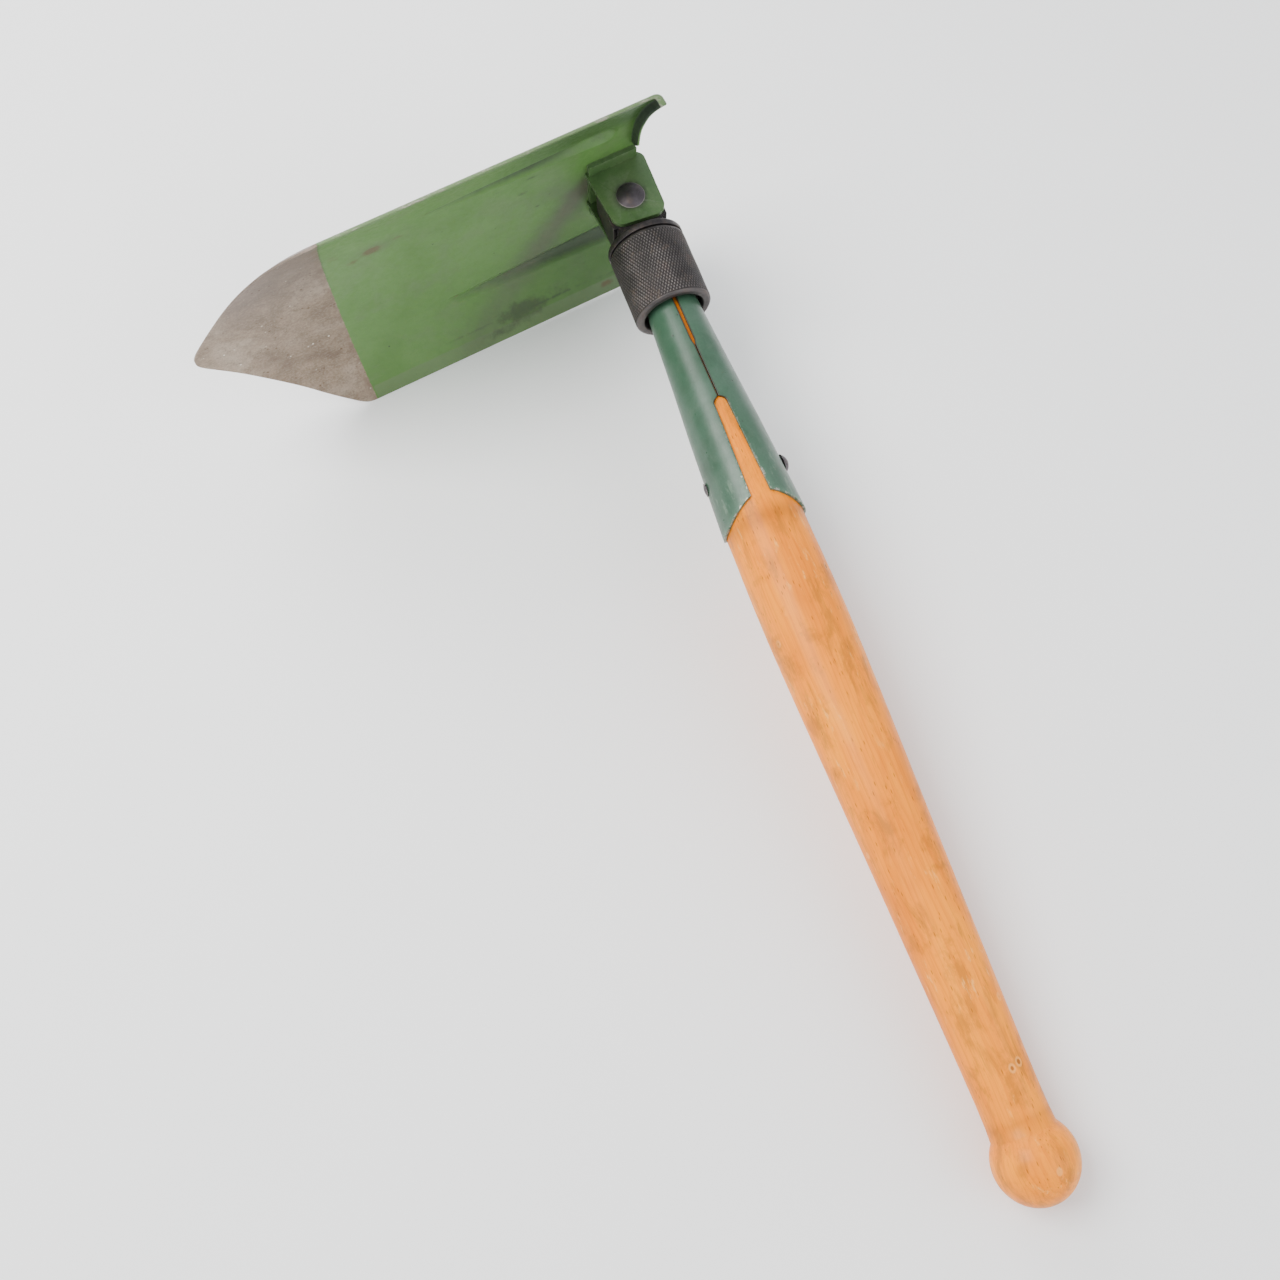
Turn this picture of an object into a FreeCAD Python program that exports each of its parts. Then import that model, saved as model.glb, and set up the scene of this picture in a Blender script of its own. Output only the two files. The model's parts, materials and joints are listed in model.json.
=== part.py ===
import FreeCAD, Part
import os
from math import sin, cos, tan, radians, degrees, sqrt, atan2, acos, pi

os.makedirs("parts", exist_ok=True)
V = FreeCAD.Vector

# ---- driving dimensions, mm and degrees ----
# Design axes: origin on the pivot axis, x towards the blade tip, y along the
# pivot, z along the handle towards the ball end.
BLADE_LEAN = 7.5        # blade plane leans towards the handle
BLADE_W = 150.0         # width
BLADE_LEN = 227.6       # pivot to tip
BLADE_DEPTH = 21.5      # pivot to the blade's front face on the centre line
SECTION_RISE = 18.5     # how far the long edges stand in front of the centre line
SECTION_POW = 2.8       # the middle is flat and the sides curl up
BLADE_T = 2.0           # sheet thickness
LIP_H, LIP_T = 6.5, 2.2 # lip bent forward along the rear edge, either side of the hinge
LIP_Y0, LIP_Y1 = 21.0, 27.0
RIB_Y = 40.5            # two grooves pressed towards the back
RIB_A0, RIB_A1 = 4.0, 97.0
RIB_R0, RIB_R1 = 6.5, 3.1
RIB_LIFT = 2.5
FLAT = 14.5             # pivot to each locking flat
EAR_R = 6.0             # ear corner radius
EAR_BACK_R = 5.0        # ear corner beside the blade's rear edge
EAR_IN, EAR_OUT = 10.6, 13.1
BASE_T = 2.5
PIN_R = 5.0
PIN_CLEAR = 0.06
PIN_HEAD_R, PIN_HEAD_H = 7.3, 2.6
TONGUE_X, TONGUE_Y = 12.0, 10.4
BLOCK_X, BLOCK_TOP = 14.2, 14.0
SHANK_R = 15.0
SHANK_END = 56.0
RING_R, RING_Z0, RING_Z1 = 19.8, 19.4, 23.2
NUT_R, NUT_Z0, NUT_Z1 = 20.0, 23.4, 62.6
NUT_BORE = 15.3
SHEET = 1.5
SOCKET = [(36.0, 12.4), (56.0, 12.4), (62.0, 13.4), (100.0, 15.75), (131.0, 18.0), (183.0, 21.0)]
SEAM = 1.7
STRAP_Z = 183.0
RIVET_Z, RIVET_R = 156.0, 2.6
WOOD = [(183.0, 19.5), (192.0, 19.55), (205.0, 19.85), (222.0, 20.03), (240.0, 19.95), (268.0, 19.35),
        (305.0, 18.3), (340.0, 17.25), (375.0, 16.3), (408.0, 15.4), (440.0, 14.6), (457.0, 14.3), (464.0, 14.35)]
KNOB_Z, KNOB_R = 484.35, 18.9

Y = V(0, 1, 0)
O = V(0, 0, 0)


def prism_xy(pts, z0, z1):
    w = Part.makePolygon([V(x, y, z0) for x, y in pts] + [V(pts[0][0], pts[0][1], z0)])
    return Part.Face(w).extrude(V(0, 0, z1 - z0))


def revolve(pts):
    w = Part.makePolygon([V(r, 0, z) for z, r in pts] + [V(pts[0][1], 0, pts[0][0])])
    return Part.Face(w).revolve(O, V(0, 0, 1), 360)


def lean(s):
    s = s.copy()
    s.rotate(O, Y, -BLADE_LEAN)
    return s


def section(y):
    return -BLADE_DEPTH + SECTION_RISE * (abs(y) * 2 / BLADE_W) ** SECTION_POW


def offset_point(y, d):
    """point of the blade's cross-section curve, moved d towards the back"""
    h = BLADE_W / 2
    s = SECTION_RISE * SECTION_POW / h * (abs(y) / h) ** (SECTION_POW - 1) * (1 if y > 0 else -1)
    q = sqrt(1 + s * s)
    return (y + d * s / q, section(y) - d / q)


def curve(d, a):
    pts = [V(a, *offset_point(y, d)) for y in [-84.0 + 4.0 * i for i in range(43)]]
    c = Part.BSplineCurve()
    c.interpolate(pts)
    return c.toShape(), pts[0], pts[-1]


def shell(d0, d1, a0=-60.0, a1=260.0):
    """everything between the section curves moved d0 and d1 towards the back"""
    e0, p0, q0 = curve(d0, a0)
    e1, p1, q1 = curve(d1, a0)
    w = Part.Wire([e0, Part.makeLine(q0, q1), e1, Part.makeLine(p1, p0)])
    return Part.Face(w).extrude(V(a1 - a0, 0, 0))


def in_front(d):
    e0, p0, q0 = curve(d, -60.0)
    top = 90.0
    w = Part.Wire([e0, Part.makeLine(q0, V(-60, q0.y, top)), Part.makeLine(V(-60, q0.y, top), V(-60, p0.y, top)), Part.makeLine(V(-60, p0.y, top), p0)])
    return Part.Face(w).extrude(V(320, 0, 0))


# ---- blade ----
half_tip = [(227.6, 2.0), (226.3, 5.2), (213.0, 21.0), (198.5, 38.0), (184.3, 53.0), (175.5, 61.8),
            (165.5, 70.0), (159.0, 74.0), (154.0, 75.0)]
half_rear = [(-16.0, 75.0), (-18.0, 74.2), (-19.0, 72.0), (-18.0, 67.0), (-16.7, 62.5), (-15.6, 58.0), (-14.9, 53.0), (-14.3, 48.0),
             (-13.8, 44.0), (-13.5, 39.0), (-13.4, 32.0), (-13.5, 25.0), (-14.0, 21.0), (-14.3, 16.0), (-14.5, 8.0)]


def outline_face(shift=0.0, wide=False):
    if not wide:
        top = half_tip + half_rear
        pts = top + [(a, -y) for a, y in reversed(top)]
        return pts
    rear = [(a + shift, y) for a, y in half_rear]
    rear[0] = (rear[0][0], 90.0)
    pts = [(240.0, 90.0)] + rear + [(a, -y) for a, y in reversed(rear)] + [(240.0, -90.0)]
    return pts


outline = prism_xy(outline_face(), -60.0, 20.0)
blade = shell(0.0, BLADE_T).common(outline)
lip = shell(-LIP_H, 0.8).common(outline).cut(prism_xy(outline_face(LIP_T, True), -60.0, 40.0))
lip = lip.cut(Part.makeBox(120, 2 * LIP_Y0, 120, V(-60, -LIP_Y0, -60)))
for sgn in (-1, 1):
    tri = [V(-60, sgn * (LIP_Y0 - 0.5), section(LIP_Y0)), V(-60, sgn * LIP_Y1, section(LIP_Y1) + LIP_H + 0.2), V(-60, sgn * (LIP_Y0 - 0.5), section(LIP_Y1) + LIP_H + 6.0)]
    lip = lip.cut(Part.Face(Part.makePolygon(tri + [tri[0]])).extrude(V(120, 0, 0)))
blade = blade.fuse(lip)
behind = shell(0.0, 20.0)
for sgn in (-1, 1):
    yy, zz = offset_point(sgn * RIB_Y, -RIB_LIFT)
    p, q = V(RIB_A0, yy, zz), V(RIB_A1, yy, zz)

    def groove(extra):
        g = Part.makeCone(RIB_R0 + extra, RIB_R1 + extra, RIB_A1 - RIB_A0, p, V(1, 0, 0))
        return g.fuse(Part.makeSphere(RIB_R0 + extra, p)).fuse(Part.makeSphere(RIB_R1 + extra, q))
    blade = blade.fuse(groove(BLADE_T).common(behind)).cut(groove(0.0))
rivet_at = [(a, y) for a in (-7.5, 7.5) for y in (-5.2, 5.2)]
for a, y in rivet_at:
    blade = blade.cut(Part.makeCylinder(2.5, 12, V(a, y, -30)))
blade = blade.removeSplitter()

# ---- hinge bracket ----
base = shell(-BASE_T, 0.0).common(Part.makeBox(26.8, 40.0, 12.0, V(-13.4, -20.0, -23.0)))
for a, y in rivet_at:
    base = base.cut(Part.makeCylinder(2.5, 12, V(a, y, -26)))
base = lean(base)
t = radians(BLADE_LEAN)


def from_lean(a, zt):
    return (a * cos(t) - zt * sin(t), a * sin(t) + zt * cos(t))


zt = -BLADE_DEPTH - 0.2
p3 = from_lean(FLAT, zt)
a4 = (-FLAT + zt * sin(t)) / cos(t)
p4 = from_lean(a4, zt)
corner_f = (FLAT * (1 - sin(t)) / cos(t), FLAT)
poly = [(-FLAT, FLAT), corner_f, p3, p4]
ears = []
for y0 in (-EAR_OUT, EAR_IN):
    w = Part.makePolygon([V(x, y0, z) for x, z in poly] + [V(poly[0][0], y0, poly[0][1])])
    e = Part.Face(w).extrude(V(0, EAR_OUT - EAR_IN, 0))
    edges = []
    for ed in e.Edges:
        a, b = ed.Vertexes[0].Point, ed.Vertexes[-1].Point
        if abs(a.x - b.x) < 1e-6 and abs(a.z - b.z) < 1e-6 and a.z > 0:
            edges.append(ed)
    e = e.makeFillet(EAR_R, edges)
    back = [ed for ed in e.Edges if len(ed.Vertexes) == 2 and abs(ed.Vertexes[0].X - ed.Vertexes[1].X) < 1e-6 and abs(ed.Vertexes[0].Z - ed.Vertexes[1].Z) < 1e-6
            and ed.Vertexes[0].X < -12 and ed.Vertexes[0].Z < -15]
    e = e.makeFillet(EAR_BACK_R, back)
    ears.append(e.common(lean(in_front(0.0))))
bracket = base.fuse(ears[0]).fuse(ears[1])
bracket = bracket.cut(Part.makeCylinder(PIN_R, 60, V(0, -30, 0), Y)).removeSplitter()

# ---- bracket rivets ----
rivets = []
for a, y in rivet_at:
    top = section(y) + BASE_T - 0.15
    bottom = -BLADE_DEPTH - BLADE_T
    r = Part.makeCylinder(2.5, top - bottom, V(a, y, bottom))
    cap = Part.makeSphere(6.2, V(a, y, bottom + 4.2)).common(Part.makeBox(20, 20, 5, V(a - 10, y - 10, bottom - 5.0)))
    rivets.append(r.fuse(cap).removeSplitter())
bracket_rivets = lean(Part.makeCompound(rivets))
blade = lean(blade)


def dome(r, h, base_pt, direction):
    R = (r * r + h * h) / (2 * h)
    d = V(direction)
    c = V(base_pt) - d * (R - h)
    s = Part.makeSphere(R, c)
    keep = Part.makeCylinder(r + 1, h + 1, V(base_pt), d)
    return s.common(keep)


# ---- pivot rivet ----
pivot = Part.makeCylinder(PIN_R, 2 * EAR_OUT, V(0, -EAR_OUT, 0), Y)
pivot = pivot.fuse(dome(PIN_HEAD_R, PIN_HEAD_H, V(0, EAR_OUT, 0), V(0, 1, 0)))
pivot = pivot.fuse(dome(PIN_HEAD_R, PIN_HEAD_H, V(0, -EAR_OUT, 0), V(0, -1, 0))).removeSplitter()

# ---- hinge tongue with its threaded shank ----
tongue = Part.makeBox(2 * TONGUE_X, 2 * TONGUE_Y, 26.0, V(-TONGUE_X, -TONGUE_Y, 0.0)).common(Part.makeCylinder(SHANK_R, 80, V(0, 0, -20)))
block = Part.makeBox(2 * BLOCK_X, 2 * TONGUE_Y, 40.0, V(-BLOCK_X, -TONGUE_Y, BLOCK_TOP - 40.0))
round_end = Part.makeCylinder(18.3, 60, V(0, -30, 0), Y).fuse(Part.makeBox(60, 60, 60, V(-30, -30, 0)))
block = block.common(round_end).common(Part.makeBox(60, 60, 60, V(-30, -30, -16.5)))
tongue = tongue.fuse(block)
shank = Part.makeCylinder(SHANK_R, SHANK_END - 25.0, V(0, 0, 25.0))
tongue = tongue.fuse(shank)
tongue = tongue.cut(Part.makeCylinder(SOCKET[0][1], 40.0, V(0, 0, SOCKET[0][0])))
tongue = tongue.cut(Part.makeCylinder(PIN_R + PIN_CLEAR, 60, V(0, -30, 0), Y)).removeSplitter()

# ---- pressure ring ----
ring = revolve([(RING_Z0, 6.0), (RING_Z0, RING_R - 1.6), (RING_Z0 + 0.5, RING_R - 0.5), (RING_Z0 + 1.6, RING_R), (RING_Z1, RING_R), (RING_Z1, 6.0)])
c = 0.15
hole = Part.makeBox(2 * (TONGUE_X + c), 2 * (TONGUE_Y + c), 20, V(-TONGUE_X - c, -TONGUE_Y - c, 12)).common(Part.makeCylinder(SHANK_R + 0.25, 60, V(0, 0, 0)))
ring = ring.cut(hole).removeSplitter()

# ---- locking collar ----
nut = revolve([(NUT_Z0, NUT_BORE), (NUT_Z0, NUT_R - 1.4), (NUT_Z0 + 1.4, NUT_R), (NUT_Z1 - 1.2, NUT_R),
               (NUT_Z1, NUT_R - 1.8), (NUT_Z1, NUT_BORE + 0.6), (NUT_Z1 - 0.6, NUT_BORE)])

# ---- socket ----
outer_pts = SOCKET
inner_pts = [(z, r - SHEET) for z, r in reversed(SOCKET)]
socket = revolve(outer_pts + inner_pts)
socket = socket.cut(Part.makeBox(SEAM, 40, 88.0 - 30.0, V(-SEAM / 2, -40, 30.0)))
socket = socket.cut(Part.makeBox(0.4, 40, 34.0, V(-0.2, -40, 87.0)))
for y0 in (-40, 0):
    w = Part.makePolygon([V(-2.2, y0, 119.0), V(2.2, y0, 119.0), V(3.3, y0, 121.0), V(5.6, y0, 190.0), V(-5.6, y0, 190.0), V(-3.3, y0, 121.0), V(-2.2, y0, 119.0)])
    socket = socket.cut(Part.Face(w).extrude(V(0, 40, 0)))
arc = Part.Arc(V(-30, -21.0, 171.0), V(-30, 0, STRAP_Z), V(-30, 21.0, 171.0)).toShape()
w = Part.Wire([Part.makeLine(V(-30, -21, 30), V(-30, -21, 171)), arc, Part.makeLine(V(-30, 21, 171), V(-30, 21, 30)), Part.makeLine(V(-30, 21, 30), V(-30, -21, 30))])
socket = socket.common(Part.Face(w).extrude(V(60, 0, 0)))
rivet_hole = Part.makeCylinder(RIVET_R, 80, V(-40, 0, RIVET_Z), V(1, 0, 0))
socket = socket.cut(rivet_hole).removeSplitter()

# ---- handle ----
z_j = KNOB_Z - 14.0
pts = [V(0, 0, 38.0), V(SOCKET[0][1] - SHEET, 0, 38.0)]
edges = [Part.makeLine(pts[0], pts[1])]
prev = pts[1]
for z, r in SOCKET[1:]:
    q = V(r - SHEET, 0, z)
    edges.append(Part.makeLine(prev, q))
    prev = q
bs = Part.BSplineCurve()
bs.interpolate([V(r, 0, z) for z, r in WOOD])
edges.append(bs.toShape())
last = V(WOOD[-1][1], 0, WOOD[-1][0])
a0 = atan2(-14.0, sqrt(KNOB_R ** 2 - 14.0 ** 2))
k0 = V(KNOB_R * cos(a0), 0, KNOB_Z + KNOB_R * sin(a0))
kmid = V(KNOB_R * cos(0.3), 0, KNOB_Z + KNOB_R * sin(0.3))
kend = V(0, 0, KNOB_Z + KNOB_R)
edges.append(Part.makeLine(last, V(14.6, 0, 467.0)) if k0.x < 14.6 else Part.makeLine(last, V(k0.x, 0, k0.z)))
if k0.x < 14.6:
    a0 = -acos(14.6 / KNOB_R)
    k0 = V(14.6, 0, KNOB_Z + KNOB_R * sin(a0))
    edges[-1] = Part.makeLine(last, k0)
edges.append(Part.Arc(k0, kmid, kend).toShape())
edges.append(Part.makeLine(kend, pts[0]))
handle = Part.Face(Part.Wire(edges)).revolve(O, V(0, 0, 1), 360)
handle = handle.cut(rivet_hole)

# ---- strap rivet ----
strap_rivet = Part.makeCylinder(RIVET_R, 39.5, V(-19.75, 0, RIVET_Z), V(1, 0, 0))
strap_rivet = strap_rivet.fuse(dome(3.4, 0.8, V(19.75, 0, RIVET_Z), V(1, 0, 0)))
strap_rivet = strap_rivet.fuse(dome(4.9, 2.9, V(-19.75, 0, RIVET_Z), V(-1, 0, 0))).removeSplitter()

# ---- lay the shovel on its side: long blade edge and ball on the floor ----
half = BLADE_W / 2
far = [p for p in blade.tessellate(0.05)[0] if p.y > half - 0.02]
f1 = max((p for p in far if p.x > 120), key=lambda p: p.z)
f2 = max((p for p in far if p.x < 20), key=lambda p: p.z)
t2 = atan2(f1.z - f2.z, f1.x - f2.x)
k = -f1.x * sin(t2) + f1.z * cos(t2) - KNOB_Z * cos(t2)
m = sqrt(half ** 2 + k ** 2)
beta = acos(KNOB_R / m) - atan2(-k, half)
down = V(-sin(beta) * sin(t2), cos(beta), sin(beta) * cos(t2))
zr = down * -1
hy = V(0, 0, -1)
yr = hy - zr * hy.dot(zr)
yr.normalize()
xr = yr.cross(zr)
M = FreeCAD.Matrix(xr.x, xr.y, xr.z, 0, yr.x, yr.y, yr.z, 0, zr.x, zr.y, zr.z, 0, 0, 0, 0, 1)
nodes = {"blade": blade, "hinge_bracket": bracket, "bracket_rivets": bracket_rivets, "pivot_rivet": pivot, "hinge_tongue": tongue,
         "pressure_ring": ring, "locking_collar": nut, "socket": socket, "strap_rivet": strap_rivet, "handle": handle}
lo, hi = [1e9] * 3, [-1e9] * 3
placed = {}
rot = FreeCAD.Placement(M)
for name, s in nodes.items():
    s = s.copy()
    s.Placement = rot.multiply(s.Placement)
    placed[name] = s
    for p in s.tessellate(0.05)[0]:
        for i, c in enumerate((p.x, p.y, p.z)):
            lo[i], hi[i] = min(lo[i], c), max(hi[i], c)
shift = V(-(lo[0] + hi[0]) / 2, -(lo[1] + hi[1]) / 2, -lo[2])
print("ROWS", [list(map(float, r)) for r in (xr, yr, zr)], "SHIFT", list(shift), "SIZE", [h - l for l, h in zip(lo, hi)])
for name, s in placed.items():
    s.translate(shift)
    if len(s.Solids) == 1:
        s = s.Solids[0]
    print(name, s.ShapeType, s.isValid(), len(s.Solids), round(s.Volume, 1))
    s.exportStep("parts/" + name + ".step")
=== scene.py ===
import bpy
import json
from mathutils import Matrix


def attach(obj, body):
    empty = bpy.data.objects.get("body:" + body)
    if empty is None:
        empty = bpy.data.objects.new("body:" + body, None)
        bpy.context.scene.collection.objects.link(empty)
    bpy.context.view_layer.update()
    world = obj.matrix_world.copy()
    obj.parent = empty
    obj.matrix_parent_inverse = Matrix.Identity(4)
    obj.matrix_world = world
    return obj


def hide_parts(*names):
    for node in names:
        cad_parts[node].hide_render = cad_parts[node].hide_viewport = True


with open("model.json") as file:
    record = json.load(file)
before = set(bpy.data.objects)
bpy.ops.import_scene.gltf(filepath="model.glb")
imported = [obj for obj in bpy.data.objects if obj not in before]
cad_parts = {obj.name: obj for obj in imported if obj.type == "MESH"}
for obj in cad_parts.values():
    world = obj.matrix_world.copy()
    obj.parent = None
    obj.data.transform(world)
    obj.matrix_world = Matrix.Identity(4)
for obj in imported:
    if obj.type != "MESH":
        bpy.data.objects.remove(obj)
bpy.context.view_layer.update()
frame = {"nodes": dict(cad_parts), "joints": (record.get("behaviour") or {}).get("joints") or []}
import bpy, bmesh, json, math, random
from mathutils import Vector, Matrix

random.seed(7)

# ---- design axes, read from the joints: x to the blade tip, y along the pivot, z along the handle to the ball ----
J = {j["name"]: j for j in frame["joints"]}
O0 = Vector(J["blade_fold"]["pos_m"])
AY = Vector(J["blade_fold"]["axis"]).normalized()
AZ = Vector(J["ring_slide"]["axis"]).normalized()
AX = AY.cross(AZ).normalized()
LEAN = math.radians(7.5)
CL, SL = math.cos(LEAN), math.sin(LEAN)
DEPTH, TH = 21.5, 2.0


def P(p):
    return O0 + (AX * p[0] + AY * p[1] + AZ * p[2]) * 0.001


def D(v):
    q = (v - O0) * 1000.0
    return (q.dot(AX), q.dot(AY), q.dot(AZ))


def leaned(a, y, z):
    return (a * CL - z * SL, y, a * SL + z * CL)


def unlean(p):
    return (p[0] * CL + p[2] * SL, p[1], -p[0] * SL + p[2] * CL)


def interp(pts, x):
    if x <= pts[0][0]:
        return pts[0][1]
    for i in range(len(pts) - 1):
        if x <= pts[i + 1][0]:
            x0, y0 = pts[i]
            x1, y1 = pts[i + 1]
            m = lambda k: (pts[min(k + 1, len(pts) - 1)][1] - pts[max(k - 1, 0)][1]) / max(1e-9, pts[min(k + 1, len(pts) - 1)][0] - pts[max(k - 1, 0)][0])
            h = x1 - x0
            t = (x - x0) / h
            d = (y1 - y0) / h
            m0, m1 = m(i), m(i + 1)
            if m0 * d <= 0:
                m0 = 0
            if m1 * d <= 0:
                m1 = 0
            m0 = max(min(m0, 3 * abs(d)), -3 * abs(d))
            m1 = max(min(m1, 3 * abs(d)), -3 * abs(d))
            return (2 * t**3 - 3 * t * t + 1) * y0 + (t**3 - 2 * t * t + t) * h * m0 + (3 * t * t - 2 * t**3) * y1 + (t**3 - t * t) * h * m1
    return pts[-1][1]


def make(name, verts, faces, mat, body, node, extra=None, smooth=True, sharp=None):
    me = bpy.data.meshes.new(name)
    me.from_pydata([P(v) for v in verts], [], faces)
    bm = bmesh.new()
    bm.from_mesh(me)
    bmesh.ops.recalc_face_normals(bm, faces=bm.faces)
    bm.to_mesh(me)
    bm.free()
    if smooth:
        me.polygons.foreach_set("use_smooth", [True] * len(me.polygons))
    at = me.attributes.new("oc", "FLOAT_VECTOR", "POINT")
    at.data.foreach_set("vector", [c for v in verts for c in v])
    for k, vals in (extra or {}).items():
        at = me.attributes.new(k, "FLOAT", "POINT")
        at.data.foreach_set("value", vals)
    if sharp:
        me.set_sharp_from_angle(angle=math.radians(sharp))
    me.materials.append(mat)
    ob = bpy.data.objects.new(name, me)
    bpy.context.scene.collection.objects.link(ob)
    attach(ob, body)
    if node:
        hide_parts(node)
    return ob


def lathe(profile, centre, axis, seg=96, closed=False):
    """profile: (along, radius); poles where the radius is 0."""
    axis = Vector(axis).normalized()
    u = axis.orthogonal().normalized()
    w = axis.cross(u)
    vs, fs, rows = [], [], []
    for h, r in profile:
        if r < 1e-6:
            rows.append([len(vs)])
            vs.append(tuple(Vector(centre) + axis * h))
        else:
            row = []
            for i in range(seg):
                t = 2 * math.pi * i / seg
                row.append(len(vs))
                vs.append(tuple(Vector(centre) + axis * h + (u * math.cos(t) + w * math.sin(t)) * r))
            rows.append(row)
    n = len(rows)
    for k in range(n if closed else n - 1):
        a, b = rows[k], rows[(k + 1) % n]
        for i in range(seg):
            j = (i + 1) % seg
            if len(a) == 1 and len(b) == 1:
                continue
            if len(a) == 1:
                fs.append((a[0], b[j], b[i]))
            elif len(b) == 1:
                fs.append((a[i], a[j], b[0]))
            else:
                fs.append((a[i], a[j], b[j], b[i]))
    return vs, fs


# ---- materials ----
class N:
    def __init__(self, name):
        self.m = bpy.data.materials.new(name)
        self.m.use_nodes = True
        self.t = self.m.node_tree
        self.t.nodes.clear()
        self.out = self.t.nodes.new("ShaderNodeOutputMaterial")
        self.b = self.t.nodes.new("ShaderNodeBsdfPrincipled")
        self.t.links.new(self.b.outputs[0], self.out.inputs[0])

    def node(self, kind, ins=None, **props):
        x = self.t.nodes.new("ShaderNode" + kind)
        for k, v in props.items():
            setattr(x, k, v)
        for k, v in (ins or {}).items():
            self.put(x.inputs[k], v)
        return x

    def put(self, sock, v):
        if isinstance(v, bpy.types.NodeSocket):
            self.t.links.new(v, sock)
        else:
            sock.default_value = v

    def attr(self, name, what="Vector"):
        return self.node("Attribute", attribute_name=name).outputs[what]

    def scaled(self, vec, s, loc=(0, 0, 0)):
        return self.node("Mapping", {"Vector": vec, "Scale": s, "Location": loc}).outputs[0]

    def noise(self, vec, scale, detail=4.0, rough=0.55, dist=0.0):
        return self.node("TexNoise", {"Vector": vec, "Scale": scale, "Detail": detail, "Roughness": rough, "Distortion": dist}).outputs["Fac"]

    def voro(self, vec, scale, rand=1.0):
        return self.node("TexVoronoi", {"Vector": vec, "Scale": scale, "Randomness": rand}).outputs["Distance"]

    def ramp(self, f, stops, interp="LINEAR"):
        r = self.node("ValToRGB", {"Fac": f})
        r.color_ramp.interpolation = interp
        e = r.color_ramp.elements
        while len(e) < len(stops):
            e.new(0.5)
        for k, (p, c) in enumerate(stops):
            e[k].position = p
            e[k].color = (c, c, c, 1) if not isinstance(c, tuple) else (*c, 1)
        return r.outputs[0]

    def mix(self, f, a, b, mode="MIX"):
        x = self.node("Mix", data_type="RGBA", blend_type=mode)
        self.put(x.inputs[0], f)
        self.put(x.inputs[6], a if isinstance(a, bpy.types.NodeSocket) else (*a, 1))
        self.put(x.inputs[7], b if isinstance(b, bpy.types.NodeSocket) else (*b, 1))
        return x.outputs[2]

    def math(self, op, a, b=0.0, clamp=False):
        return self.node("Math", {0: a, 1: b}, operation=op, use_clamp=clamp).outputs[0]

    def sstep(self, x, lo, hi):
        return self.node("MapRange", {"Value": x, "From Min": lo, "From Max": hi, "To Min": 0.0, "To Max": 1.0}, interpolation_type="SMOOTHSTEP", clamp=True).outputs[0]

    def bump(self, parts):
        prev = None
        for h, dist, strength in parts:
            ins = {"Height": h, "Distance": dist, "Strength": strength}
            if prev is not None:
                ins["Normal"] = prev
            prev = self.node("Bump", ins).outputs[0]
        self.put(self.b.inputs["Normal"], prev)


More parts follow.
